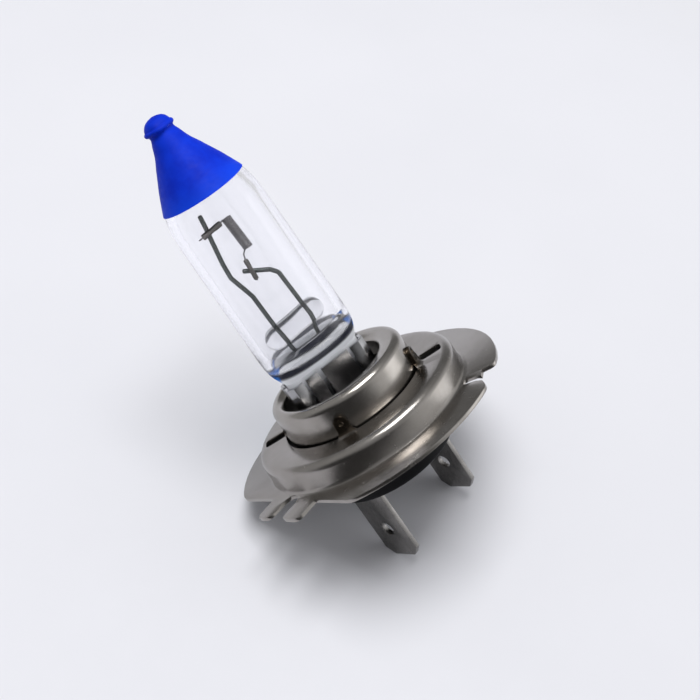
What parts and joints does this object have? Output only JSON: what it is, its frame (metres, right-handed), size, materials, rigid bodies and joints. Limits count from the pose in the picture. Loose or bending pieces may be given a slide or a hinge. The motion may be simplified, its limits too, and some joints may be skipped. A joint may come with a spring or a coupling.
{
  "type": "headlight bulb",
  "caption": "Halogen headlight bulb: axial coil in a quartz tube with a blue painted tip, on a flanged metal base with a forked key tab and parallel blade contacts.",
  "frame": {"origin": "on the lamp axis, at the centre of the bottom face of the black boss between the blades; the flange's seating face is the plane z = 5.5 mm", "axes": "+Z along the lamp axis towards the tip of the glass; +X towards the forked key tab of the flange; the two blades face each other along X"},
  "size_m": [0.0318, 0.032, 0.0537],
  "materials": {
    "quartz_glass": "clear polished",
    "blue_paint": "satin paint film",
    "tungsten": "drawn wire",
    "molybdenum": "drawn wire",
    "molybdenum_sleeve": "dull",
    "stainless_clip": "satin",
    "nickelled_steel": "satin nickel",
    "collar_steel": "satin nickel",
    "black_insulator": "moulded",
    "tinned_blade": "dull tinned"
  },
  "bodies": {
    "root": {"base_shell": "nickelled_steel", "filament": "tungsten", "focus_collar": "collar_steel", "foil_long": "molybdenum", "foil_short": "molybdenum", "glass_bridge": "quartz_glass", "glass_envelope": "quartz_glass", "insulator": "black_insulator", "long_lead_post": "molybdenum", "lower_filament_sleeve": "molybdenum_sleeve", "outer_lead_long": "molybdenum", "outer_lead_short": "molybdenum", "pinch_clip_front": "stainless_clip", "pinch_clip_rear": "stainless_clip", "short_lead_post": "molybdenum", "terminal_blade_left": "tinned_blade", "terminal_blade_right": "tinned_blade", "tip_coating": "blue_paint", "upper_filament_sleeve": "molybdenum_sleeve"}
  },
  "joints": []
}
